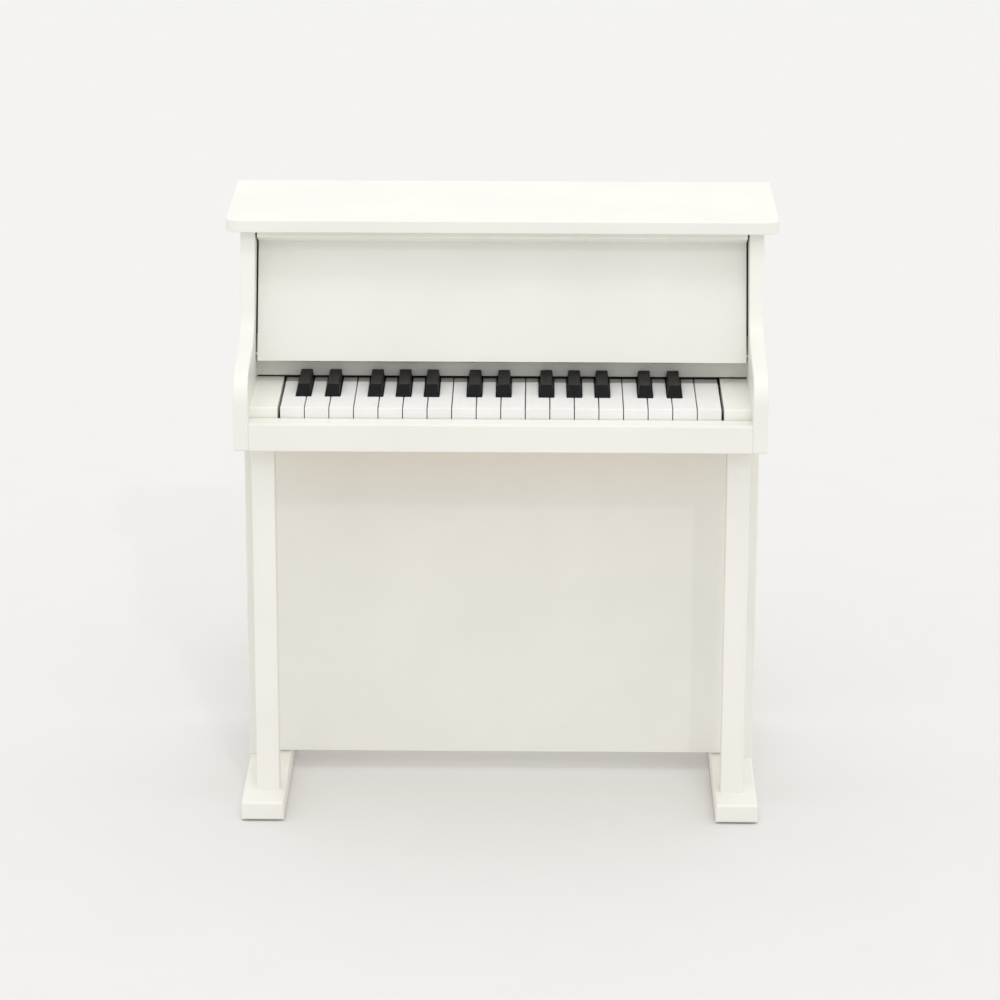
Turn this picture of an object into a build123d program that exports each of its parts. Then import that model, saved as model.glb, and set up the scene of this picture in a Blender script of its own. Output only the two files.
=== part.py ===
# A child's upright toy piano with thirty keys, C to F, in a white painted case.
# Millimetres. X runs along the keyboard, bass at -X. The player sits at -Y. Z is up from the floor.
# The origin is on the floor, under the middle of the piano's bounding box.

from build123d import *

import os
from math import cos, radians, sin, sqrt, tan

os.makedirs("parts", exist_ok=True)

# ---------------------------------------------------------------------------------------------
# Driving dimensions
# ---------------------------------------------------------------------------------------------

HEIGHT = 546.5  # floor to the top of the lid
DEPTH = 274.0  # toe of the feet to the back edge of the lid
BODY_WIDTH = 481.0  # over the outer faces of the two side panels
SIDE_THICK = 13.5
EDGE_ROUND = 1.2  # softened edges of painted boards

# Lid
LID_WIDTH = 507.0
LID_THICK = 11.5
LID_DEPTH = 164.5
LID_FRONT_CORNER = 12.0
LID_BACK_CORNER = 3.0
LID_TOP_ROUND = 0.9
LID_UNDER_ROUND = 1.2

# Side panels, seen from the side
CASE_BACK = 135.0
CASE_FRONT = -14.0  # front edge of a side panel below its arm
ARM_FRONT = -136.0
ARM_FRONT_TOP = 426.5  # height of the arm's top line at its front
CHEEK_FOOT = (-40.5, 441.6)  # where the arm's top line meets the cheek's front edge
CHEEK_TOP = -11.5  # front edge of the cheek under the lid
ARM_NOSE_RADIUS = 28.0
CHEEK_RADIUS = 34.0
ARM_TOE_RADIUS = 2.0
ARM_PIT_RADIUS = 4.0

# Feet and legs
GLIDE_THICK = 1.5
GLIDE_RADIUS = 12.0
GLIDE_INSET = 22.0
FOOT_TOP = 19.0
FOOT_WIDTH = 39.2
FOOT_SETBACK = 0.9  # a foot's outer face is this far inside the side panel's
FOOT_EDGE = 2.2
LEG_SIZE = 21.0
LEG_FRONT = -105.0

# Case around the keyboard
BED_BOTTOM = 359.0
BED_TOP = 371.0
SLIP_TOP = 384.5
SLIP_THICK = 20.0
SLIP_SETBACK = 0.5  # behind the front of the arms
NAME_FRONT = -11.0
NAME_THICK = 12.0
NAME_BOTTOM = 395.2
NAME_TOP = 432.5
PANEL_THICK = 6.0
LOWER_PANEL_FRONT = -7.5
LOWER_PANEL_BOTTOM = 21.0
BACK_THICK = 4.0
BACK_BOTTOM = 359.0  # the case is open at the back below the key bed

# Keyboard
WHITE_COUNT = 18
WHITE_PITCH = 22.2
KEY_GAP = 0.9  # between two white keys
BLOCK_GAP = 2.6  # between the last key and its block
BLOCK_BACK = 6.0
KEY_TOP = 394.3
KEY_BOTTOM = 380.5
KEY_FRONT = -114.5
KEY_TAIL = 100.0
KEY_EDGE = 0.7
KEY_DIP = 3.5  # degrees that a pressed key turns
TAIL_TOP = 391.3  # behind the name board the levers are lower
NOTCH_WIDTH = 14.3  # room between two white keys for a black one
BLACK_FRONT = -77.0
BLACK_BACK = -12.8
BLACK_TOP = 402.3
BLACK_BASE_WIDTH = 12.5
BLACK_TOP_WIDTH = 10.5
BLACK_SLOPE_RUN = 13.5  # run of the sloped front of a black key
BLACK_EDGE = 0.6
BLACK_SPREAD = 1.0045  # the black keys stand this much further apart than the white ones

# Fallboard: it turns on two pins in the arms, and is modelled open
FALL_PIVOT = (-25.5, 419.5)
FALL_THICK = 12.0
FALL_LENGTH = 110.5  # pivot to the outer face of the lip
FALL_LEAN = 22.4  # degrees that it leans back when open
FALL_SIDE_GAP = 1.8
FALL_HEEL = 6.8  # how far the board goes on below its pivot
FALL_HEEL_ROUND = 6.0  # its lower edge, at the back
LIP_THICK = 6.0
LIP_REACH = 23.5  # how far the lip stands out of the inner face
UPPER_GAP = 2.5  # between the open fallboard and the panel behind it
BUFFER_GAP = 0.3
BUFFER_RADIUS = 6.0
PIN_RADIUS = 2.5
PIN_IN_BOARD = 14.0
RUNNING_GAP = 0.05
BUSH_RADIUS = 4.0
BUSH_LENGTH = 9.0

# Action
PIVOT = (-10.0, 386.0)  # the keys' pivot rod, as Y and Z
ROD_RADIUS = 2.0
ROD_IN_BLOCK = 12.0
BALANCE_WIDTH = 18.0
BALANCE_TOP = 377.0
BRACKET_THICK = 2.0
BRACKET_WIDTH = 8.0
BRACKET_CLEAR = 0.9  # between a bracket and the levers beside it
REST_RAIL_Y = 76.0
REST_RAIL_WIDTH = 18.0
REST_FELT_THICK = 2.0
FELT_WIDTH = 12.0
FELT_GAP = 0.4  # left under a key at full dip
NAME_FELT_THICK = 0.5  # the strip under the name board
NAME_FELT_REACH = 1.2  # how far it stands out in front of the board
KEY_REST_GAP = 0.3
STOP_FELTS_Y = (-98.0, -69.0)  # under the fronts of the white and of the black keys
HAMMER_TOP = 399.0
HAMMER_LENGTH = 10.0
HAMMER_WIDTH = 7.0
STRIKE_GAP = 0.8  # left between a hammer at full dip and its rod
TONE_ROD_RADIUS = 1.5
TONE_ROD_IN_BAR = 12.0
LONGEST_ROD = 98.0  # free length of the lowest rod
TONE_BAR_FRONT = 114.0
TONE_BAR_HEIGHT = 26.0
TONE_BAR_HALF = 205.0
SPRING_THICK = 0.4
SPRING_WIDTH = 4.0
SPRING_TIP_Y = 42.0
SPRING_TOP = 420.0
SPRING_BEND = 401.0

# Screws
SCREW_HEAD_RADIUS = 3.4
SCREW_SHANK_RADIUS = 1.7
SCREW_HEAD_DEPTH = 1.7
SCREW_LENGTH = 16.0
SCREW_SLOT = (3.6, 0.8, 0.9)  # one arm of the cross recess: length, width, depth

# ---------------------------------------------------------------------------------------------
# Worked out from them
# ---------------------------------------------------------------------------------------------

FOOT_FRONT = -DEPTH / 2
LID_BACK = DEPTH / 2
LID_UNDER = HEIGHT - LID_THICK
INNER = BODY_WIDTH / 2 - SIDE_THICK  # inner face of a side panel
KEYS_HALF = WHITE_COUNT * WHITE_PITCH / 2
BLOCK_INNER = KEYS_HALF - KEY_GAP / 2 + BLOCK_GAP
RAIL_HALF = BLOCK_INNER - 1.0
SLIP_FRONT = ARM_FRONT + SLIP_SETBACK
PLATE_BACK = NAME_FRONT + 2.0  # back end of the playing surfaces, under the name board
LEVER_CLEAR = (NOTCH_WIDTH - BLACK_BASE_WIDTH) / 2
DIP_SINE = sin(radians(KEY_DIP))
STRIKE_Z = HAMMER_TOP + (KEY_TAIL - PIVOT[0]) * DIP_SINE + STRIKE_GAP
TONE_ROD_Z = STRIKE_Z + TONE_ROD_RADIUS
REST_TOP = KEY_BOTTOM - KEY_REST_GAP - REST_FELT_THICK

# Each octave's black keys: the white key on their left, and how far they are off the middle.
OCTAVE = ["c", "d", "e", "f", "g", "a", "b"]
BLACK_OFFSETS = {"c": -2.2, "d": 2.2, "f": -3.3, "g": 0.0, "a": 3.3}


def letter(index):
    return OCTAVE[index % len(OCTAVE)]


def octave(index):
    return index // len(OCTAVE) + 1


def boundary(index):
    """X of the left side of white key number index, in the middle of the gap."""
    return -KEYS_HALF + index * WHITE_PITCH


def black_center(index):
    """X of the black key on the right of white key number index, or None."""
    if not 0 <= index < WHITE_COUNT - 1 or letter(index) not in BLACK_OFFSETS:
        return None
    return (boundary(index + 1) + BLACK_OFFSETS[letter(index)]) * BLACK_SPREAD


# Where two white keys meet with no black key between them, the pivot rod has a bracket.
BRACKETS = [index + 1 for index in range(WHITE_COUNT - 1) if black_center(index) is None]


def white_waist(index):
    """Left and right sides of white key number index beside the black keys."""
    left = boundary(index) + KEY_GAP / 2
    right = boundary(index + 1) - KEY_GAP / 2
    if black_center(index - 1) is not None:
        left = black_center(index - 1) + NOTCH_WIDTH / 2
    if black_center(index) is not None:
        right = black_center(index) - NOTCH_WIDTH / 2
    return left, right


def white_lever(index):
    """Left and right sides of its lever, which is narrower beside a bracket."""
    left, right = white_waist(index)
    room = BRACKET_THICK / 2 + BRACKET_CLEAR
    if index in BRACKETS:
        left = boundary(index) + room
    if index + 1 in BRACKETS:
        right = boundary(index + 1) - room
    return left, right


def lever_centers():
    """X of the middle of every lever, from the bass up."""
    centers = []
    for index in range(WHITE_COUNT):
        centers.append(sum(white_lever(index)) / 2)
        if black_center(index) is not None:
            centers.append(black_center(index))
    return centers


# The open fallboard, as (Y, Z) directions: up along it, and out of its inner face.
lean = radians(FALL_LEAN)
up_fall = (sin(lean), cos(lean))
out_fall = (-cos(lean), sin(lean))
fall_plane = Plane(origin=(0, *FALL_PIVOT), x_dir=(0, *up_fall), z_dir=(1, 0, 0))

# The front face of the upper front panel, which leans in the same way behind it.
behind_fall = FALL_THICK / 2 + UPPER_GAP
upper_face = Plane(
    origin=(0, FALL_PIVOT[0] - behind_fall * out_fall[0], FALL_PIVOT[1] - behind_fall * out_fall[1]),
    x_dir=(1, 0, 0),
    z_dir=(0, *out_fall),
)

BOTTOM_UP = (Align.CENTER, Align.CENTER, Align.MIN)


def save(part, name):
    part.label = name
    export_step(part, f"parts/{name}.step")


def board(half_width, y_low, y_high, z_low, z_high, bored_by=None):
    """A board across the middle of the case, bored for what passes through it."""
    with BuildPart() as plank:
        with BuildSketch(Plane.XY.offset(z_low)):
            with Locations((0, (y_low + y_high) / 2)):
                Rectangle(2 * half_width, y_high - y_low)
        extrude(amount=z_high - z_low)
        if bored_by is not None:
            add(bored_by, mode=Mode.SUBTRACT)
    return plank.part


# ---------------------------------------------------------------------------------------------
# Lid
# ---------------------------------------------------------------------------------------------

with BuildPart() as top_lid:
    with BuildSketch(Plane.XY.offset(LID_UNDER)):
        with Locations((0, LID_BACK - LID_DEPTH / 2)):
            Rectangle(LID_WIDTH, LID_DEPTH)
        fillet(vertices().group_by(Axis.Y)[0], radius=LID_FRONT_CORNER)
        fillet(vertices().group_by(Axis.Y)[-1], radius=LID_BACK_CORNER)
    extrude(amount=LID_THICK)
    fillet(faces().sort_by(Axis.Z)[-1].edges(), radius=LID_TOP_ROUND)
    fillet(faces().sort_by(Axis.Z)[0].edges(), radius=LID_UNDER_ROUND)
save(top_lid.part, "top_lid")

# ---------------------------------------------------------------------------------------------
# Side panels: one board each, with the arm that carries the key bed
# ---------------------------------------------------------------------------------------------

SIDE_CORNERS = [
    ((CASE_BACK, FOOT_TOP), 0),
    ((CASE_BACK, LID_UNDER), 0),
    ((CHEEK_TOP, LID_UNDER), 0),
    (CHEEK_FOOT, CHEEK_RADIUS),
    ((ARM_FRONT, ARM_FRONT_TOP), ARM_NOSE_RADIUS),
    ((ARM_FRONT, BED_BOTTOM), ARM_TOE_RADIUS),
    ((CASE_FRONT, BED_BOTTOM), ARM_PIT_RADIUS),
    ((CASE_FRONT, FOOT_TOP), 0),
]


def side_panel(side):
    """The side panel at -X for side -1, or at +X for side 1."""
    points = [corner for corner, radius in SIDE_CORNERS]
    radii = [radius for corner, radius in SIDE_CORNERS]
    with BuildPart() as panel:
        with BuildSketch(Plane.YZ.offset(side * INNER)):
            with BuildLine():
                FilletPolyline(*points, radius=radii, close=True)
            make_face()
        extrude(amount=side * SIDE_THICK)
        # The front edges are softened, from the lid round the arm and down to the foot.
        outlines = panel.faces().filter_by(Axis.X).edges()
        below_lid = outlines.filter_by_position(Axis.Z, FOOT_TOP + 1, LID_UNDER - 1)
        front = below_lid.filter_by_position(Axis.Y, ARM_FRONT - 1, CASE_BACK - 1)
        fillet(front, radius=EDGE_ROUND)
        # A blind bore takes the fallboard's pivot bush.
        with BuildSketch(Plane.YZ.offset(side * INNER)):
            with Locations(FALL_PIVOT):
                Circle(BUSH_RADIUS)
        extrude(amount=side * BUSH_LENGTH, mode=Mode.SUBTRACT)
    return panel.part


side_panel_left = side_panel(-1)
save(side_panel_left, "side_panel_left")

side_panel_right = side_panel(1)
save(side_panel_right, "side_panel_right")

# ---------------------------------------------------------------------------------------------
# Feet, legs and glides
# ---------------------------------------------------------------------------------------------

FOOT_CENTER = BODY_WIDTH / 2 - FOOT_SETBACK - FOOT_WIDTH / 2
LEG_CENTER = INNER - LEG_SIZE / 2


def foot(center_x):
    with BuildPart() as block:
        with BuildSketch(Plane.XY.offset(GLIDE_THICK)):
            with Locations((center_x, (FOOT_FRONT + CASE_BACK) / 2)):
                Rectangle(FOOT_WIDTH, CASE_BACK - FOOT_FRONT)
        extrude(amount=FOOT_TOP - GLIDE_THICK)
        top_sides = block.edges().filter_by(Axis.Y).group_by(Axis.Z)[-1]
        fillet(block.faces().sort_by(Axis.Y)[0].edges() + top_sides, radius=FOOT_EDGE)
    return block.part


def leg(center_x):
    with BuildPart() as post:
        with BuildSketch(Plane.XY.offset(FOOT_TOP)):
            with Locations((center_x, LEG_FRONT + LEG_SIZE / 2)):
                Rectangle(LEG_SIZE, LEG_SIZE)
            fillet(vertices(), radius=EDGE_ROUND)
        extrude(amount=BED_BOTTOM - FOOT_TOP)
    return post.part


foot_left = foot(-FOOT_CENTER)
save(foot_left, "foot_left")

foot_right = foot(FOOT_CENTER)
save(foot_right, "foot_right")

front_leg_left = leg(-LEG_CENTER)
save(front_leg_left, "front_leg_left")

front_leg_right = leg(LEG_CENTER)
save(front_leg_right, "front_leg_right")

glide_rows = [FOOT_FRONT + GLIDE_INSET, 0, CASE_BACK - GLIDE_INSET]
with BuildPart() as foot_glides:
    with BuildSketch():
        with Locations(*[(side * FOOT_CENTER, y) for side in (-1, 1) for y in glide_rows]):
            Circle(GLIDE_RADIUS)
    extrude(amount=GLIDE_THICK)
save(foot_glides.part, "foot_glides")

# ---------------------------------------------------------------------------------------------
# Screws: through the back panel, and up through the key bed
# ---------------------------------------------------------------------------------------------


def screw_shapes(face, points):
    """Countersunk screws with their heads flush in a face, driven along its normal."""
    with BuildPart(face) as shapes:
        with Locations(*points):
            Cone(SCREW_HEAD_RADIUS, SCREW_SHANK_RADIUS, SCREW_HEAD_DEPTH, align=BOTTOM_UP)
            Cylinder(SCREW_SHANK_RADIUS, SCREW_LENGTH, align=BOTTOM_UP)
    return shapes.part


def screw_slots(face, points):
    """The cross recesses of those screws."""
    length, width, depth = SCREW_SLOT
    with BuildPart(face) as slots:
        with Locations(*points):
            Box(length, width, depth, align=BOTTOM_UP)
            Box(width, length, depth, align=BOTTOM_UP)
    return slots.part


back_face = Plane.XZ.offset(-CASE_BACK)
bed_face = Plane.XY.offset(BED_BOTTOM)
bed_middle = (BED_BOTTOM + BED_TOP) / 2
back_points = [(x, bed_middle) for x in (-200, -100, 0, 100, 200)]
back_points += [(x, TONE_ROD_Z - TONE_BAR_HEIGHT / 3) for x in (-193, -66, 66, 193)]
bed_points = [(x, PIVOT[0]) for x in (-160, -80, 0, 80, 160)]

back_screws = screw_shapes(back_face, back_points)
bed_screws = screw_shapes(bed_face, bed_points)
back_slots = screw_slots(back_face, back_points)
bed_slots = screw_slots(bed_face, bed_points)

with BuildPart() as case_screws:
    add(back_screws)
    add(bed_screws)
    add(back_slots, mode=Mode.SUBTRACT)
    add(bed_slots, mode=Mode.SUBTRACT)
save(case_screws.part, "case_screws")

# ---------------------------------------------------------------------------------------------
# Boards between the side panels
# ---------------------------------------------------------------------------------------------

panel_back = LOWER_PANEL_FRONT + PANEL_THICK
lower_front_panel = board(INNER, LOWER_PANEL_FRONT, panel_back, LOWER_PANEL_BOTTOM, BED_BOTTOM)
save(lower_front_panel, "lower_front_panel")

back_inner = CASE_BACK - BACK_THICK
back_panel = board(INNER, back_inner, CASE_BACK, BACK_BOTTOM, LID_UNDER, bored_by=back_screws)
save(back_panel, "back_panel")

slip_back = SLIP_FRONT + SLIP_THICK
bed_bores = [back_screws, bed_screws]
key_bed = board(INNER, slip_back, back_inner, BED_BOTTOM, BED_TOP, bored_by=bed_bores)
save(key_bed, "key_bed")

with BuildPart() as key_slip:
    with BuildSketch(Plane.YZ.offset(-INNER)):
        with Locations((SLIP_FRONT + SLIP_THICK / 2, (BED_BOTTOM + SLIP_TOP) / 2)):
            Rectangle(SLIP_THICK, SLIP_TOP - BED_BOTTOM)
        front_corners = vertices().group_by(Axis.X)[0]
        fillet(front_corners, radius=EDGE_ROUND)
    extrude(amount=2 * INNER)
save(key_slip.part, "key_slip")

with BuildPart() as name_board:
    with BuildSketch(Plane.YZ.offset(-INNER)):
        with Locations((NAME_FRONT + NAME_THICK / 2, (NAME_BOTTOM + NAME_TOP) / 2)):
            Rectangle(NAME_THICK, NAME_TOP - NAME_BOTTOM)
        bottom_corners = vertices().group_by(Axis.Y)[0]
        fillet(bottom_corners, radius=EDGE_ROUND / 2)
    extrude(amount=2 * INNER)
save(name_board.part, "name_board")


def upper_y(z, depth=0.0):
    """Y of the upper front panel at height z, at a depth behind its front face."""
    face = upper_face.origin - upper_face.z_dir * depth
    return face.Y + (z - face.Z) * tan(lean)


with BuildPart() as upper_front_panel:
    with BuildSketch(Plane.YZ.offset(-INNER)):
        with BuildLine():
            Polyline(
                (upper_y(NAME_TOP), NAME_TOP),
                (upper_y(LID_UNDER), LID_UNDER),
                (upper_y(LID_UNDER, PANEL_THICK), LID_UNDER),
                (upper_y(NAME_TOP, PANEL_THICK), NAME_TOP),
                close=True,
            )
        make_face()
    extrude(amount=2 * INNER)
save(upper_front_panel.part, "upper_front_panel")

# ---------------------------------------------------------------------------------------------
# Key frame: pivot rod, blocks at the ends of the keyboard, rails, brackets and felts
# ---------------------------------------------------------------------------------------------

with BuildPart() as key_pivot_rod:
    with BuildSketch(Plane.YZ.offset(-BLOCK_INNER - ROD_IN_BLOCK)):
        with Locations(PIVOT):
            Circle(ROD_RADIUS)
    extrude(amount=2 * (BLOCK_INNER + ROD_IN_BLOCK))
save(key_pivot_rod.part, "key_pivot_rod")


def key_block(side):
    """The block that fills the key bed between the last key and the side panel."""
    with BuildPart() as block:
        with BuildSketch(Plane.XY.offset(BED_TOP)):
            with Locations((side * (BLOCK_INNER + INNER) / 2, (KEY_FRONT + BLOCK_BACK) / 2)):
                Rectangle(INNER - BLOCK_INNER, BLOCK_BACK - KEY_FRONT)
        extrude(amount=KEY_TOP - BED_TOP)
        fillet(block.faces().sort_by(Axis.Y)[0].edges().sort_by(Axis.Z)[-1], radius=EDGE_ROUND)
        add(key_pivot_rod.part, mode=Mode.SUBTRACT)
    return block.part


key_block_left = key_block(-1)
save(key_block_left, "key_block_left")

key_block_right = key_block(1)
save(key_block_right, "key_block_right")

balance_front = PIVOT[0] - BALANCE_WIDTH / 2
balance_back = PIVOT[0] + BALANCE_WIDTH / 2
balance_rail = board(
    RAIL_HALF, balance_front, balance_back, BED_TOP, BALANCE_TOP, bored_by=bed_screws
)
save(balance_rail, "balance_rail")

rest_front = REST_RAIL_Y - REST_RAIL_WIDTH / 2
rest_back = REST_RAIL_Y + REST_RAIL_WIDTH / 2
rear_rest_rail = board(RAIL_HALF, rest_front, rest_back, BED_TOP, REST_TOP)
save(rear_rest_rail, "rear_rest_rail")

with BuildPart() as pivot_brackets:
    for index in BRACKETS:
        with BuildSketch(Plane.YZ.offset(boundary(index) - BRACKET_THICK / 2)):
            with Locations((PIVOT[0], (BALANCE_TOP + PIVOT[1]) / 2)):
                Rectangle(BRACKET_WIDTH, PIVOT[1] - BALANCE_TOP)
            with Locations(PIVOT):
                Circle(BRACKET_WIDTH / 2)
                Circle(ROD_RADIUS, mode=Mode.SUBTRACT)
        extrude(amount=BRACKET_THICK)
save(pivot_brackets.part, "pivot_brackets")

with BuildPart() as key_felts:
    # Two strips on the key bed stop the pressed keys, each thick enough to leave the gap.
    for strip_y in STOP_FELTS_Y:
        strip_front = strip_y - FELT_WIDTH / 2
        drop = (PIVOT[0] - strip_front) * DIP_SINE
        with BuildSketch(Plane.XY.offset(BED_TOP)):
            with Locations((0, strip_y)):
                Rectangle(2 * RAIL_HALF, FELT_WIDTH)
        extrude(amount=KEY_BOTTOM - drop - FELT_GAP - BED_TOP)
    # One strip on the rest rail carries the tails.
    with BuildSketch(Plane.XY.offset(REST_TOP)):
        with Locations((0, REST_RAIL_Y)):
            Rectangle(2 * RAIL_HALF, FELT_WIDTH)
    extrude(amount=REST_FELT_THICK)
    # One strip under the name board closes the gap above the keys.
    with BuildSketch(Plane.XY.offset(NAME_BOTTOM - NAME_FELT_THICK)):
        with Locations((0, NAME_FRONT - NAME_FELT_REACH + NAME_THICK / 2)):
            Rectangle(2 * INNER, NAME_THICK)
    extrude(amount=NAME_FELT_THICK)
save(key_felts.part, "key_felts")

# ---------------------------------------------------------------------------------------------
# Tone rods in their iron bar, and the comb of return springs
# ---------------------------------------------------------------------------------------------

with BuildPart() as tone_rods:
    for number, center in enumerate(lever_centers()):
        # A clamped rod sounds a semitone higher when it is shorter by the 24th root of two.
        free_length = LONGEST_ROD / sqrt(2 ** (number / 12))
        with BuildSketch(Plane.XZ.offset(-TONE_BAR_FRONT - TONE_ROD_IN_BAR)):
            with Locations((center, TONE_ROD_Z)):
                Circle(TONE_ROD_RADIUS)
        extrude(amount=TONE_ROD_IN_BAR + free_length)
save(tone_rods.part, "tone_rods")

bar_low = TONE_ROD_Z - TONE_BAR_HEIGHT / 2
bar_high = TONE_ROD_Z + TONE_BAR_HEIGHT / 2
bar_bores = [tone_rods.part, back_screws]
tone_bar = board(TONE_BAR_HALF, TONE_BAR_FRONT, back_inner, bar_low, bar_high, bored_by=bar_bores)
save(tone_bar, "tone_bar")

comb_front = NAME_FRONT + NAME_THICK
comb_back = comb_front + SPRING_THICK
tip_low = TAIL_TOP + KEY_REST_GAP
with BuildPart() as key_springs:
    with BuildSketch(Plane.XZ.offset(-comb_back)):
        with Locations((0, (SPRING_BEND + SPRING_TOP) / 2)):
            Rectangle(2 * RAIL_HALF, SPRING_TOP - SPRING_BEND)
    extrude(amount=SPRING_THICK)
    for center in lever_centers():
        with BuildSketch(Plane.YZ.offset(center - SPRING_WIDTH / 2)):
            with BuildLine():
                Polyline(
                    (comb_front, SPRING_BEND),
                    (comb_back, SPRING_BEND),
                    (SPRING_TIP_Y, tip_low + SPRING_THICK),
                    (SPRING_TIP_Y, tip_low),
                    (comb_front, SPRING_BEND - SPRING_THICK),
                    close=True,
                )
            make_face()
        extrude(amount=SPRING_WIDTH)
save(key_springs.part, "key_springs")

# ---------------------------------------------------------------------------------------------
# Fallboard: panel, lip, pivot pins, their bushes, and the buffers that it rests on
# ---------------------------------------------------------------------------------------------

FALL_HALF = INNER - FALL_SIDE_GAP
panel_length = FALL_LENGTH - LIP_THICK

with BuildPart() as fallboard_pins:
    for side in (-1, 1):
        with BuildSketch(fall_plane.offset(side * (FALL_HALF - PIN_IN_BOARD))):
            Circle(PIN_RADIUS)
        extrude(amount=side * (PIN_IN_BOARD + FALL_SIDE_GAP + BUSH_LENGTH - 1))
save(fallboard_pins.part, "fallboard_pins")

with BuildPart() as fallboard:
    with BuildSketch(fall_plane.offset(-FALL_HALF)):
        with Locations(((panel_length - FALL_HEEL) / 2, 0)):
            Rectangle(panel_length + FALL_HEEL, FALL_THICK)
        heel_corners = vertices().group_by(Axis.X)[0].sort_by(Axis.Y)
        fillet(heel_corners[0], radius=FALL_HEEL_ROUND)
        fillet(heel_corners[1], radius=EDGE_ROUND / 2)
    extrude(amount=2 * FALL_HALF)
    add(fallboard_pins.part, mode=Mode.SUBTRACT)
save(fallboard.part, "fallboard")

with BuildPart() as fallboard_lip:
    with BuildSketch(fall_plane.offset(-FALL_HALF)):
        with Locations((panel_length + LIP_THICK / 2, LIP_REACH / 2)):
            Rectangle(LIP_THICK, LIP_REACH + FALL_THICK)
        tip_corners = vertices().group_by(Axis.Y)[-1]
        fillet(tip_corners, radius=EDGE_ROUND)
    extrude(amount=2 * FALL_HALF)
save(fallboard_lip.part, "fallboard_lip")

with BuildPart() as pivot_bushes:
    for side in (-1, 1):
        with BuildSketch(fall_plane.offset(side * INNER)):
            Circle(BUSH_RADIUS)
            Circle(PIN_RADIUS + RUNNING_GAP, mode=Mode.SUBTRACT)
        extrude(amount=side * BUSH_LENGTH)
save(pivot_bushes.part, "pivot_bushes")

with BuildPart() as fallboard_buffers:
    with BuildSketch(upper_face):
        with Locations(*[(x, panel_length - 2 * BUFFER_RADIUS) for x in (-190, 0, 190)]):
            Circle(BUFFER_RADIUS)
    extrude(amount=UPPER_GAP - BUFFER_GAP)
save(fallboard_buffers.part, "fallboard_buffers")

# ---------------------------------------------------------------------------------------------
# Keys
# ---------------------------------------------------------------------------------------------


def lever(left, right):
    """A key's lever behind its playing surface, with the hammer nose on its tail."""
    middle = (left + right) / 2
    with BuildPart() as tail:
        with BuildSketch(Plane.XY.offset(KEY_BOTTOM)):
            with Locations((middle, (PLATE_BACK + KEY_TAIL) / 2)):
                Rectangle(right - left, KEY_TAIL - PLATE_BACK)
        extrude(amount=TAIL_TOP - KEY_BOTTOM)
        with BuildSketch(Plane.XY.offset(TAIL_TOP)):
            with Locations((middle, KEY_TAIL - HAMMER_LENGTH / 2)):
                Rectangle(HAMMER_WIDTH, HAMMER_LENGTH)
        extrude(amount=HAMMER_TOP - TAIL_TOP)
    return tail.part


with BuildPart() as pivot_bore:
    with BuildSketch(Plane.YZ.offset(-BLOCK_INNER)):
        with Locations(PIVOT):
            Circle(ROD_RADIUS + RUNNING_GAP)
    extrude(amount=2 * BLOCK_INNER)


def bracket_room(index):
    """The space round the bracket at a white boundary, which the keys beside it leave free."""
    width = BRACKET_THICK + 2 * BRACKET_CLEAR
    length = BRACKET_WIDTH + 4 * BRACKET_CLEAR
    with BuildPart() as space:
        with BuildSketch(Plane.XY.offset(KEY_BOTTOM)):
            with Locations((boundary(index), PIVOT[0])):
                Rectangle(width, length)
        extrude(amount=TAIL_TOP - KEY_BOTTOM)
    return space.part


def white_key(index):
    head_left = boundary(index) + KEY_GAP / 2
    head_right = boundary(index + 1) - KEY_GAP / 2
    waist_left, waist_right = white_waist(index)
    notch = BLACK_FRONT - LEVER_CLEAR
    tail = lever(*white_lever(index))
    rooms = [bracket_room(end) for end in (index, index + 1) if end in BRACKETS]
    with BuildPart() as key:
        with BuildSketch(Plane.XY.offset(KEY_BOTTOM)):
            with Locations(((head_left + head_right) / 2, (KEY_FRONT + notch) / 2)):
                Rectangle(head_right - head_left, notch - KEY_FRONT)
            with Locations(((waist_left + waist_right) / 2, (KEY_FRONT + PLATE_BACK) / 2)):
                Rectangle(waist_right - waist_left, PLATE_BACK - KEY_FRONT)
        extrude(amount=KEY_TOP - KEY_BOTTOM)
        rim = key.faces().sort_by(Axis.Z)[-1].edges()
        fillet(rim.filter_by_position(Axis.Y, KEY_FRONT - 1, PLATE_BACK - 1), radius=KEY_EDGE)
        add(tail)
        for room in rooms:
            add(room, mode=Mode.SUBTRACT)
        add(pivot_bore.part, mode=Mode.SUBTRACT)
    return key.part


def black_key(index):
    center = black_center(index)
    left = center - BLACK_BASE_WIDTH / 2
    right = center + BLACK_BASE_WIDTH / 2
    slope_top = BLACK_FRONT + BLACK_SLOPE_RUN
    draft = (BLACK_BASE_WIDTH - BLACK_TOP_WIDTH) / 2
    top_back = BLACK_BACK - draft
    tail = lever(left, right)
    with BuildPart() as key:
        # The cap above the white keys has a sloped front and slightly drafted sides.
        with BuildSketch(Plane.XY.offset(KEY_TOP)):
            with Locations((center, (BLACK_FRONT + BLACK_BACK) / 2)):
                Rectangle(BLACK_BASE_WIDTH, BLACK_BACK - BLACK_FRONT)
        with BuildSketch(Plane.XY.offset(BLACK_TOP)):
            with Locations((center, (slope_top + top_back) / 2)):
                Rectangle(BLACK_TOP_WIDTH, top_back - slope_top)
        loft()
        fillet(key.edges().filter_by_position(Axis.Z, KEY_TOP + 1, BLACK_TOP + 1), radius=BLACK_EDGE)
        with BuildSketch(Plane.XY.offset(KEY_BOTTOM)):
            with Locations((center, (BLACK_FRONT + PLATE_BACK) / 2)):
                Rectangle(BLACK_BASE_WIDTH, PLATE_BACK - BLACK_FRONT)
        extrude(amount=KEY_TOP - KEY_BOTTOM)
        add(tail)
        add(pivot_bore.part, mode=Mode.SUBTRACT)
    return key.part


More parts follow.
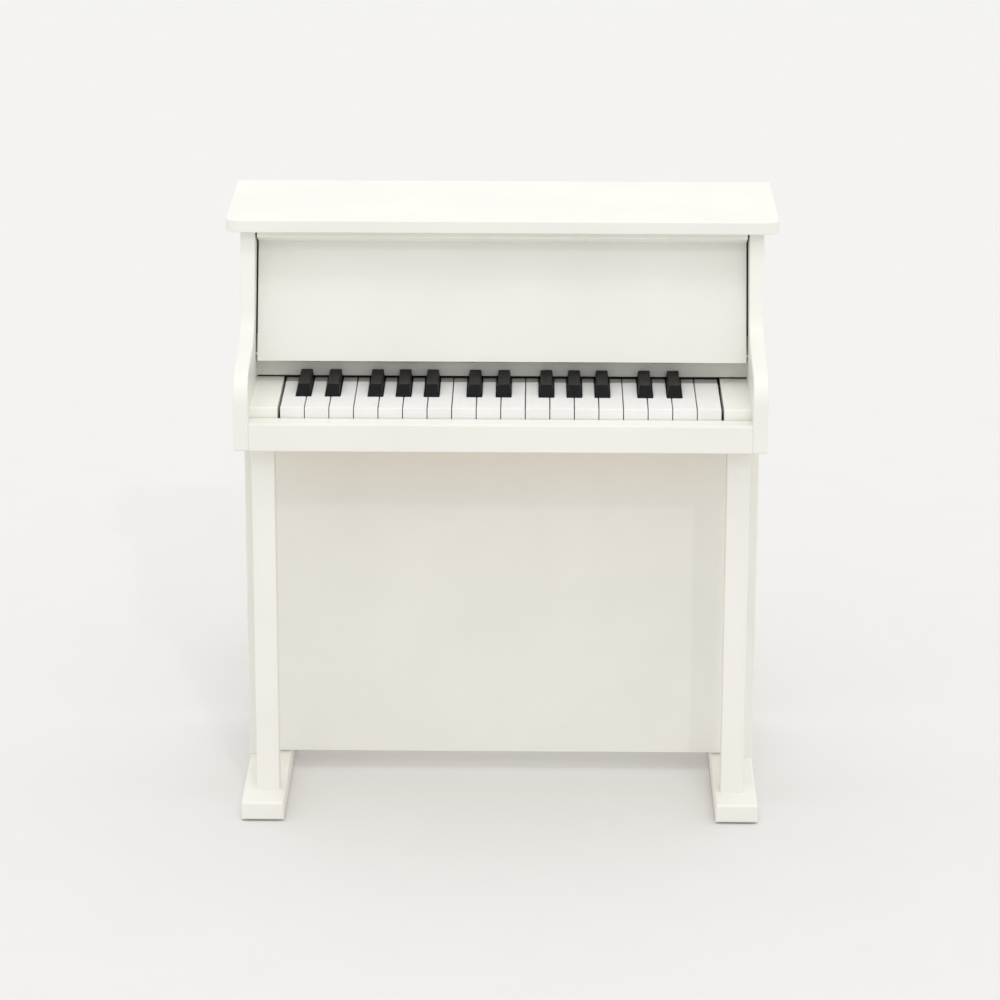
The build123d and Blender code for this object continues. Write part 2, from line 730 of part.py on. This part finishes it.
for index in range(WHITE_COUNT):
    save(white_key(index), f"white_key_{letter(index)}{octave(index)}")
    if black_center(index) is not None:
        save(black_key(index), f"black_key_{letter(index)}s{octave(index)}")
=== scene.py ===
"""A child's upright toy piano in satin off-white paint, seen from the front and a little above."""

import math
import bpy
from mathutils import Matrix, Vector


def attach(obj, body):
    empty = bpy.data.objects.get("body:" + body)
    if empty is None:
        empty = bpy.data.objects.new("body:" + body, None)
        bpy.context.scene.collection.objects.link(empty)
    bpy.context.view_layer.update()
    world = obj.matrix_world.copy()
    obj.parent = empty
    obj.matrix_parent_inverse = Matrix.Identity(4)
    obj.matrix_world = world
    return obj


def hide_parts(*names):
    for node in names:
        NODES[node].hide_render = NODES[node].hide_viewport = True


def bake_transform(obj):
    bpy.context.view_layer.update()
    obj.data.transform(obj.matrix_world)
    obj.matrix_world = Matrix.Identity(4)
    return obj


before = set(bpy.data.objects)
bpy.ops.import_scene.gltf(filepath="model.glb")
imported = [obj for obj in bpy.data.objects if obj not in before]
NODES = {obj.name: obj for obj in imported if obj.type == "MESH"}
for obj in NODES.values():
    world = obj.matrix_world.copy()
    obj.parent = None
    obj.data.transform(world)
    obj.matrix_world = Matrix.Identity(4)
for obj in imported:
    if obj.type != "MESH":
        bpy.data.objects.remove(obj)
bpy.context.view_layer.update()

MM = 0.001

# ---------------------------------------------------------------------------------------------
# Material helpers. Texture coordinates are the object's own, so they are metres in the CAD frame.
# ---------------------------------------------------------------------------------------------


class Shader:
    """A material with a Principled shader, and short calls for the nodes that feed it."""

    def __init__(self, name, **values):
        self.material = bpy.data.materials.new(name)
        self.material.use_nodes = True
        self.tree = self.material.node_tree
        self.bsdf = self.tree.nodes["Principled BSDF"]
        coords = self.node("ShaderNodeTexCoord")
        self.object_coords = coords.outputs["Object"]
        self.object_normals = coords.outputs["Normal"]
        for socket, value in values.items():
            self.bsdf.inputs[socket.replace("_", " ")].default_value = value

    def node(self, kind, **settings):
        made = self.tree.nodes.new(kind)
        for key, value in settings.items():
            setattr(made, key, value)
        return made

    def link(self, output, target):
        self.tree.links.new(output, target)

    def stretched(self, x, y, z):
        """Object coordinates scaled along each axis, so that a noise read there is drawn out."""
        mapping = self.node("ShaderNodeMapping")
        mapping.inputs["Scale"].default_value = (x, y, z)
        self.link(self.object_coords, mapping.inputs["Vector"])
        return mapping.outputs["Vector"]

    def noise(self, scale, detail=2.0, roughness=0.5, distortion=0.0, coords=None):
        noise = self.node("ShaderNodeTexNoise")
        noise.inputs["Scale"].default_value = scale
        noise.inputs["Detail"].default_value = detail
        noise.inputs["Roughness"].default_value = roughness
        noise.inputs["Distortion"].default_value = distortion
        self.link(coords or self.object_coords, noise.inputs["Vector"])
        return noise.outputs["Fac"]

    def spread(self, value, low, high, out_low, out_high):
        """Maps a value from low..high to out_low..out_high, and clamps it."""
        spread = self.node("ShaderNodeMapRange")
        for socket, number in zip(
            ("From Min", "From Max", "To Min", "To Max"), (low, high, out_low, out_high)
        ):
            spread.inputs[socket].default_value = number
        self.link(value, spread.inputs["Value"])
        return spread.outputs["Result"]

    def math(self, operation, first, second):
        made = self.node("ShaderNodeMath", operation=operation)
        for socket, value in zip(made.inputs, (first, second)):
            if isinstance(value, (int, float)):
                socket.default_value = value
            else:
                self.link(value, socket)
        return made.outputs["Value"]

    def ramp(self, value, *stops):
        """A colour ramp through (position, colour) stops."""
        ramp = self.node("ShaderNodeValToRGB")
        elements = ramp.color_ramp.elements
        while len(elements) < len(stops):
            elements.new(0.5)
        for element, (position, colour) in zip(elements, stops):
            element.position = position
            element.color = (*colour, 1.0)
        self.link(value, ramp.inputs["Fac"])
        return ramp.outputs["Color"]

    def upward(self, low, high):
        """0 on steep surfaces to 1 on level ones that face up, from the object's own normals."""
        split = self.node("ShaderNodeSeparateXYZ")
        self.link(self.object_normals, split.inputs["Vector"])
        return self.spread(split.outputs["Z"], low, high, 0.0, 1.0)

    def behind(self, edge):
        """0 in front of a y, and 1 behind it, with a sharp step between."""
        split = self.node("ShaderNodeSeparateXYZ")
        self.link(self.object_coords, split.inputs["Vector"])
        return self.spread(split.outputs["Y"], edge, edge + 0.1 * MM, 0.0, 1.0)

    def mix(self, factor, first, second):
        """Mixes two colours, each a socket or three numbers."""
        mix = self.node("ShaderNodeMix", data_type="RGBA")
        if isinstance(factor, (int, float)):
            mix.inputs["Factor"].default_value = factor
        else:
            self.link(factor, mix.inputs["Factor"])
        for socket, colour in ((mix.inputs[6], first), (mix.inputs[7], second)):
            if isinstance(colour, tuple):
                socket.default_value = (*colour, 1.0)
            else:
                self.link(colour, socket)
        return mix.outputs[2]

    def colour(self, output):
        self.link(output, self.bsdf.inputs["Base Color"])

    def roughness(self, output):
        self.link(output, self.bsdf.inputs["Roughness"])

    def bump(self, height, distance, strength=1.0, below=None):
        """Adds relief, and returns its normal so that a finer one can go on top."""
        bump = self.node("ShaderNodeBump")
        bump.inputs["Distance"].default_value = distance
        bump.inputs["Strength"].default_value = strength
        self.link(height, bump.inputs["Height"])
        if below is not None:
            self.link(below, bump.inputs["Normal"])
        self.link(bump.outputs["Normal"], self.bsdf.inputs["Normal"])
        return bump.outputs["Normal"]


def darker(tint, share):
    return tuple(channel * share for channel in tint)


def satin_paint(name, tint, grain_axis):
    """Sprayed satin paint on board: orange peel, dust nibs, and a ghost of the board's grain."""
    paint = Shader(name, Specular_IOR_Level=0.5, Coat_Weight=0.12, Coat_Roughness=0.28)
    shade = darker(tint, 0.965)
    patches = paint.noise(9.0, detail=3.0)
    colour = paint.mix(paint.spread(patches, 0.35, 0.65, 0.0, 1.0), shade, tint)
    squeeze = {"x": (4.0, 90.0, 90.0), "y": (90.0, 4.0, 90.0), "z": (90.0, 90.0, 4.0)}[grain_axis]
    grain = paint.noise(3.0, detail=4.0, roughness=0.6, coords=paint.stretched(*squeeze))
    colour = paint.mix(paint.spread(grain, 0.45, 0.75, 0.0, 0.22), colour, shade)
    paint.colour(colour)
    handling = paint.noise(22.0, detail=4.0, roughness=0.6)
    paint.roughness(paint.spread(handling, 0.3, 0.7, 0.34, 0.50))
    under = paint.bump(grain, 0.05 * MM, strength=0.35)
    peel = paint.noise(420.0, detail=2.0, roughness=0.45)
    under = paint.bump(peel, 0.05 * MM, strength=0.55, below=under)
    nibs = paint.spread(paint.noise(1500.0, detail=1.0), 0.70, 0.80, 0.0, 1.0)
    paint.bump(nibs, 0.03 * MM, strength=0.5, below=under)
    return paint.material


def moulded(name, tint, top_dust_and_sheen, roughness, texture, specular, beyond=()):
    """Injection-moulded key plastic, polished by fingers, with its level tops tinted apart: fine dust
    on the white keys, a painted sheen on the black ones.

    beyond holds pairs of a y and the tint the key is given behind that y.
    """
    plastic = Shader(name, Specular_IOR_Level=specular)
    shade = darker(tint, 0.93)
    per_key = plastic.noise(3.0, detail=0.0, coords=plastic.stretched(15.0, 0.4, 0.4))
    colour = plastic.mix(plastic.spread(per_key, 0.3, 0.7, 0.0, 0.6), tint, shade)
    # level tops take the top tint: fine dust on the white keys, a painted sheen that lightens the
    # black ones
    colour = plastic.mix(plastic.upward(0.90, 0.97), colour, top_dust_and_sheen)
    for edge, tint_behind in beyond:
        colour = plastic.mix(plastic.behind(edge), colour, tint_behind)
    plastic.colour(colour)
    rubbed = plastic.noise(60.0, detail=4.0, roughness=0.6)
    plastic.roughness(plastic.spread(rubbed, 0.3, 0.7, *roughness))
    scale, height = texture
    plastic.bump(plastic.noise(scale, detail=2.0), height, strength=0.5)
    return plastic.material


def plywood(name, axis):
    """Bare sanded birch plywood with its face grain along one axis."""
    wood = Shader(name, Specular_IOR_Level=0.35)
    squeeze = {"x": (1.0, 14.0, 14.0), "z": (14.0, 14.0, 1.0)}[axis]
    along = wood.stretched(*squeeze)
    figure = wood.noise(2.6, detail=3.0, roughness=0.55, distortion=1.6, coords=along)
    rings = wood.math("FRACT", wood.math("MULTIPLY", figure, 9.0), 0.0)
    base = wood.ramp(
        rings,
        (0.0, (0.56, 0.39, 0.22)),
        (0.12, (0.69, 0.52, 0.33)),
        (0.75, (0.74, 0.58, 0.39)),
        (1.0, (0.62, 0.45, 0.27)),
    )
    fibres = wood.noise(70.0, detail=4.0, roughness=0.7, coords=along)
    colour = wood.mix(wood.spread(fibres, 0.45, 0.75, 0.0, 0.45), base, (0.50, 0.34, 0.19))
    wood.colour(colour)
    wood.roughness(wood.spread(fibres, 0.3, 0.7, 0.52, 0.72))
    wood.bump(fibres, 0.10 * MM, strength=0.6)
    return wood.material


def drawn_steel(name):
    steel = Shader(name, Metallic=1.0)
    lines = steel.noise(6.0, detail=4.0, roughness=0.7, coords=steel.stretched(8.0, 160.0, 160.0))
    steel.colour(steel.mix(lines, (0.42, 0.42, 0.43), (0.66, 0.66, 0.67)))
    steel.roughness(steel.spread(lines, 0.3, 0.7, 0.22, 0.42))
    steel.bump(lines, 0.02 * MM, strength=0.5)
    return steel.material


def cast_iron(name):
    iron = Shader(name, Metallic=0.3, Specular_IOR_Level=0.4)
    sand = iron.noise(900.0, detail=4.0, roughness=0.7)
    iron.colour(iron.mix(sand, (0.035, 0.035, 0.038), (0.075, 0.075, 0.08)))
    iron.roughness(iron.spread(sand, 0.3, 0.7, 0.5, 0.75))
    iron.bump(sand, 0.25 * MM, strength=0.8)
    return iron.material


def pressed_felt(name, tint):
    felt = Shader(name, Sheen_Weight=0.05, Sheen_Roughness=0.6, Specular_IOR_Level=0.1, Roughness=0.95)
    fibres = felt.noise(1400.0, detail=5.0, roughness=0.75, distortion=0.6)
    felt.colour(felt.mix(fibres, darker(tint, 0.6), tint))
    felt.bump(fibres, 0.35 * MM, strength=0.9)
    return felt.material


def natural_nylon(name):
    nylon = Shader(name, Subsurface_Weight=0.1)
    haze = nylon.noise(300.0, detail=3.0)
    nylon.colour(nylon.mix(haze, (0.72, 0.70, 0.64), (0.80, 0.78, 0.72)))
    nylon.roughness(nylon.spread(haze, 0.3, 0.7, 0.4, 0.55))
    nylon.bump(haze, 0.02 * MM, strength=0.5)
    return nylon.material


# ---------------------------------------------------------------------------------------------
# Finishes of the CAD nodes
# ---------------------------------------------------------------------------------------------

PAINT_TINT = (0.875, 0.862, 0.802)
COVER_SHADED_TINT = (0.842, 0.830, 0.776)  # painted shade: the key cover gets a darker paint than the case, standing in for the dimmer light on it
TRIM_LIT_TINT = (0.937, 0.925, 0.862)  # painted light: the small pieces around the keys get a lighter paint than the case, to make up for the shade they sit in
WHITE_KEY_TINT = (0.90, 0.893, 0.880)
WHITE_KEY_DUST = (0.888, 0.882, 0.870)
DARK_BAND_START = -27.9 * MM  # from here back the white keys are tinted dark grey
PAINTED_SHADE_START = -15.4 * MM  # painted shade: from here back, under the felt, the keys are tinted near black
DARK_BAND_TINT = (0.35, 0.345, 0.32)
PAINTED_SHADE_TINT = (0.025, 0.025, 0.026)
BLACK_KEY_TINT = (0.0072, 0.0075, 0.0085)
# painted sheen: the black keys' level tops are tinted lighter, standing in for the reflection of the
# lit key cover
BLACK_KEY_TOP_SHEEN = (0.030, 0.029, 0.027)

paint_across = satin_paint("satin_paint_across", PAINT_TINT, "x")
paint_upright = satin_paint("satin_paint_upright", PAINT_TINT, "z")
paint_lengthwise = satin_paint("satin_paint_lengthwise", PAINT_TINT, "y")
cover_paint_shaded = satin_paint("satin_paint_cover_shaded", COVER_SHADED_TINT, "x")
block_paint_lit = satin_paint("satin_paint_blocks_lit", TRIM_LIT_TINT, "y")
trim_paint_lit = satin_paint("satin_paint_trim_lit", TRIM_LIT_TINT, "x")
white_plastic = moulded(
    "white_key_plastic",
    WHITE_KEY_TINT,
    WHITE_KEY_DUST,
    (0.32, 0.38),
    (900.0, 0.003 * MM),
    0.5,
    beyond=((DARK_BAND_START, DARK_BAND_TINT), (PAINTED_SHADE_START, PAINTED_SHADE_TINT)),
)
black_plastic = moulded(
    "black_key_plastic", BLACK_KEY_TINT, BLACK_KEY_TOP_SHEEN, (0.45, 0.60), (1100.0, 0.02 * MM), 0.12
)
ply_across = plywood("plywood_across", "x")
ply_upright = plywood("plywood_upright", "z")
steel = drawn_steel("drawn_steel")
iron = cast_iron("painted_cast_iron")
black_felt = pressed_felt("black_felt", (0.018, 0.018, 0.019))
grey_felt = pressed_felt("grey_felt", (0.34, 0.33, 0.31))
nylon = natural_nylon("natural_nylon")

FINISHES = {
    "top_lid": paint_across,
    "side_panel_left": paint_upright,
    "side_panel_right": paint_upright,
    "foot_left": paint_lengthwise,
    "foot_right": paint_lengthwise,
    "front_leg_left": paint_upright,
    "front_leg_right": paint_upright,
    "lower_front_panel": paint_across,
    "upper_front_panel": paint_across,
    "key_slip": paint_across,
    "key_block_left": block_paint_lit,
    "key_block_right": block_paint_lit,
    "name_board": trim_paint_lit,
    "fallboard": cover_paint_shaded,
    "fallboard_lip": trim_paint_lit,
    "back_panel": ply_upright,
    "key_bed": ply_across,
    "balance_rail": ply_across,
    "rear_rest_rail": ply_across,
    "key_pivot_rod": steel,
    "pivot_brackets": steel,
    "key_springs": steel,
    "tone_rods": steel,
    "case_screws": steel,
    "fallboard_pins": steel,
    "tone_bar": iron,
    "key_felts": black_felt,
    "fallboard_buffers": black_felt,
    "foot_glides": grey_felt,
    "pivot_bushes": nylon,
}

for name, node in NODES.items():
    if name.startswith("white_key"):
        finish = white_plastic
    elif name.startswith("black_key"):
        finish = black_plastic
    else:
        finish = FINISHES[name]
    node.data.materials.clear()
    node.data.materials.append(finish)

# ---------------------------------------------------------------------------------------------
# Helpers for the pieces made here
# ---------------------------------------------------------------------------------------------


def new_object(name, data):
    made = bpy.data.objects.new(name, data)
    bpy.context.scene.collection.objects.link(made)
    return made


def placed_vertices(node):
    return [node.matrix_world @ vertex.co for vertex in node.data.vertices]


def box_mesh(name, origin, edges):
    """A box from one corner and its three edge vectors."""
    mesh = bpy.data.meshes.new(name)
    across, up, out = edges
    low = [origin, origin + across, origin + across + up, origin + up]
    high = [corner + out for corner in low]
    faces = [(0, 3, 2, 1), (4, 5, 6, 7), (0, 1, 5, 4), (1, 2, 6, 5), (2, 3, 7, 6), (3, 0, 4, 7)]
    mesh.from_pydata(low + high, [], faces)
    return mesh


# ---------------------------------------------------------------------------------------------
# Dark strips on the upper panel, behind the open fallboard's ends, which the CAD leaves out: painted
# shade for the gaps at the fallboard's ends, in the black felt finish
# ---------------------------------------------------------------------------------------------

STRIP_WIDTH = 8.0 * MM
STRIP_THICK = 1.0 * MM
STRIP_END_GAP = 3.0 * MM  # from the name board below and from the lid above


def upper_shade_strips():
    """A dark strip at each end of the sloping panel, as painted shade in the gap beside the open
    fallboard.
    """
    corners = placed_vertices(NODES["upper_front_panel"])
    foot_z = min(corner.z for corner in corners)
    head_z = max(corner.z for corner in corners)
    foot_y = min(corner.y for corner in corners if corner.z < foot_z + MM)
    head_y = min(corner.y for corner in corners if corner.z > head_z - MM)
    half = max(corner.x for corner in corners)
    rise = Vector((0.0, head_y - foot_y, head_z - foot_z))
    along = rise.normalized()
    out = Vector((0.0, -along.z, along.y))
    edges = (
        Vector((STRIP_WIDTH, 0.0, 0.0)),
        rise - 2 * along * STRIP_END_GAP,
        out * STRIP_THICK,
    )
    for left, name in ((-half, "upper_shade_strip_left"), (half - STRIP_WIDTH, "upper_shade_strip_right")):
        start = Vector((left, foot_y, foot_z)) + along * STRIP_END_GAP
        strip = new_object(name, box_mesh(name, start, edges))
        # painted shade: the strip takes the black felt finish to darken the gap
        strip.data.materials.append(black_felt)
        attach(strip, "case")


upper_shade_strips()

# ---------------------------------------------------------------------------------------------
# The comb of key springs, with a finger to each key's tail
# ---------------------------------------------------------------------------------------------

SPRING_THICK = 0.4 * MM
FINGER_STEPS = 14


def keys_by_tail():
    """The key bodies' names from the bass up, by the middle of each key's tail."""
    middles = {}
    for name, node in NODES.items():
        if "_key_" in name:
            corners = placed_vertices(node)
            back = max(corner.y for corner in corners)
            tail = [corner.x for corner in corners if corner.y > back - MM]
            middles[name] = (min(tail) + max(tail)) / 2
    return sorted(middles, key=middles.get)


def finger_spans(corners):
    """Left and right of every finger's tip, from the bass up."""
    back = max(corner.y for corner in corners)
    tips = sorted({round(corner.x, 5) for corner in corners if corner.y > back - 0.1 * MM})
    return list(zip(tips[::2], tips[1::2]))


def bent_strip(name, left, right, root, tip):
    """A thin strip from root to tip, each as (y, z), cut into steps so that it can bend."""
    mesh = bpy.data.meshes.new(name)
    points = []
    for step in range(FINGER_STEPS + 1):
        share = step / FINGER_STEPS
        y = root[0] + share * (tip[0] - root[0])
        z = root[1] + share * (tip[1] - root[1])
        top = z + SPRING_THICK
        points += [(left, y, z), (right, y, z), (right, y, top), (left, y, top)]
    faces = [(0, 1, 2, 3)]
    for step in range(FINGER_STEPS):
        ring = 4 * step
        for corner in range(4):
            after = (corner + 1) % 4
            faces.append((ring + after, ring + corner, ring + corner + 4, ring + after + 4))
    last = 4 * FINGER_STEPS
    faces.append((last + 3, last + 2, last + 1, last))
    mesh.from_pydata(points, [], faces)
    return mesh


def steel_piece(name, mesh):
    piece = new_object(name, mesh)
    mesh.materials.append(steel)
    return piece


def spring_comb():
    """The upright strip of the comb, and a finger from its foot to each key's tail."""
    corners = placed_vertices(NODES["key_springs"])
    front = min(corner.y for corner in corners)
    top = max(corner.z for corner in corners)
    half = max(corner.x for corner in corners)
    bend = min(corner.z for corner in corners if corner.y < front + SPRING_THICK / 2)
    edges = (
        Vector((2 * half, 0.0, 0.0)),
        Vector((0.0, 0.0, top - bend)),
        Vector((0.0, -SPRING_THICK, 0.0)),
    )
    mesh = box_mesh("spring_comb", Vector((-half, front + SPRING_THICK, bend)), edges)
    comb = steel_piece("spring_comb", mesh)
    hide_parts("key_springs")
    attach(comb, "case")
    root = (front + SPRING_THICK, bend)
    tip = (max(corner.y for corner in corners), min(corner.z for corner in corners))
    for key, (left, right) in zip(keys_by_tail(), finger_spans(corners)):
        name = key.replace("_key_", "_spring_")
        finger = steel_piece(name, bent_strip(name, left, right, root, tip))
        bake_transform(finger)


spring_comb()

# ---------------------------------------------------------------------------------------------
# Floor
# ---------------------------------------------------------------------------------------------

FLOOR_HALF = 14.0
FLOOR_TINT = (0.78, 0.772, 0.760)


def pale_floor():
    """A large plain floor just under the glides, with a very soft mottle."""
    corners = [(-1, -1), (1, -1), (1, 1), (-1, 1)]
    mesh = bpy.data.meshes.new("floor")
    mesh.from_pydata([(x * FLOOR_HALF, y * FLOOR_HALF, 0.0) for x, y in corners], [], [range(4)])
    floor = new_object("floor", mesh)
    cover = Shader("pale_floor", Roughness=0.9, Specular_IOR_Level=0.2)
    mottle = cover.noise(14.0, detail=5.0, roughness=0.6)
    cover.colour(cover.mix(mottle, darker(FLOOR_TINT, 0.97), FLOOR_TINT))
    mesh.materials.append(cover.material)


pale_floor()

# ---------------------------------------------------------------------------------------------
# Light: a bright soft room, a broad overhead light and a weak window light from the front right
# ---------------------------------------------------------------------------------------------

HORIZON_LIGHT = 0.82
ZENITH_LIGHT = 1.20


def room_light():
    """An even white sky, brighter overhead than at the horizon."""
    world = bpy.data.worlds.new("soft_room")
    bpy.context.scene.world = world
    world.use_nodes = True
    tree = world.node_tree
    coords = tree.nodes.new("ShaderNodeTexCoord")
    split = tree.nodes.new("ShaderNodeSeparateXYZ")
    tree.links.new(coords.outputs["Generated"], split.inputs["Vector"])
    level = tree.nodes.new("ShaderNodeMapRange")
    level.inputs["To Min"].default_value = HORIZON_LIGHT
    level.inputs["To Max"].default_value = ZENITH_LIGHT
    tree.links.new(split.outputs["Z"], level.inputs["Value"])
    background = tree.nodes["Background"]
    background.inputs["Color"].default_value = (1.0, 1.0, 1.0, 1.0)
    tree.links.new(level.outputs["Result"], background.inputs["Strength"])


def sun(name, towards_part, strength, angle_degrees):
    """A distant light that shines along towards_part."""
    lamp = bpy.data.lights.new(name, "SUN")
    lamp.energy = strength
    lamp.angle = math.radians(angle_degrees)
    holder = new_object(name, lamp)
    holder.rotation_euler = Vector(towards_part).to_track_quat("-Z", "Y").to_euler()


room_light()
sun("overhead", (-0.05, 0.394, -0.919), 0.25, 13.0)
sun("window", (-0.267, 1.0, -0.719), 0.17, 1.2)

# ---------------------------------------------------------------------------------------------
# Camera: in front, well above the keys and far back, as for a long lens
# ---------------------------------------------------------------------------------------------

CAMERA_PLACE = (0.0341, -3.5003, 1.3878)
CAMERA_DOWN = 0.3088
CAMERA_LEFT = 0.0102
CAMERA_ROLL = 0.0025
LENS = 140.6
SENSOR = 36.0


def front_camera():
    data = bpy.data.cameras.new("camera")
    data.lens = LENS
    data.sensor_width = SENSOR
    camera = new_object("camera", data)
    turn = Matrix.Rotation(CAMERA_LEFT, 4, "Z")
    turn @= Matrix.Rotation(math.pi / 2 - CAMERA_DOWN, 4, "X")
    turn @= Matrix.Rotation(CAMERA_ROLL, 4, "Z")
    camera.matrix_world = Matrix.Translation(CAMERA_PLACE) @ turn
    bpy.context.scene.camera = camera


front_camera()
bpy.context.scene.view_settings.view_transform = "Standard"
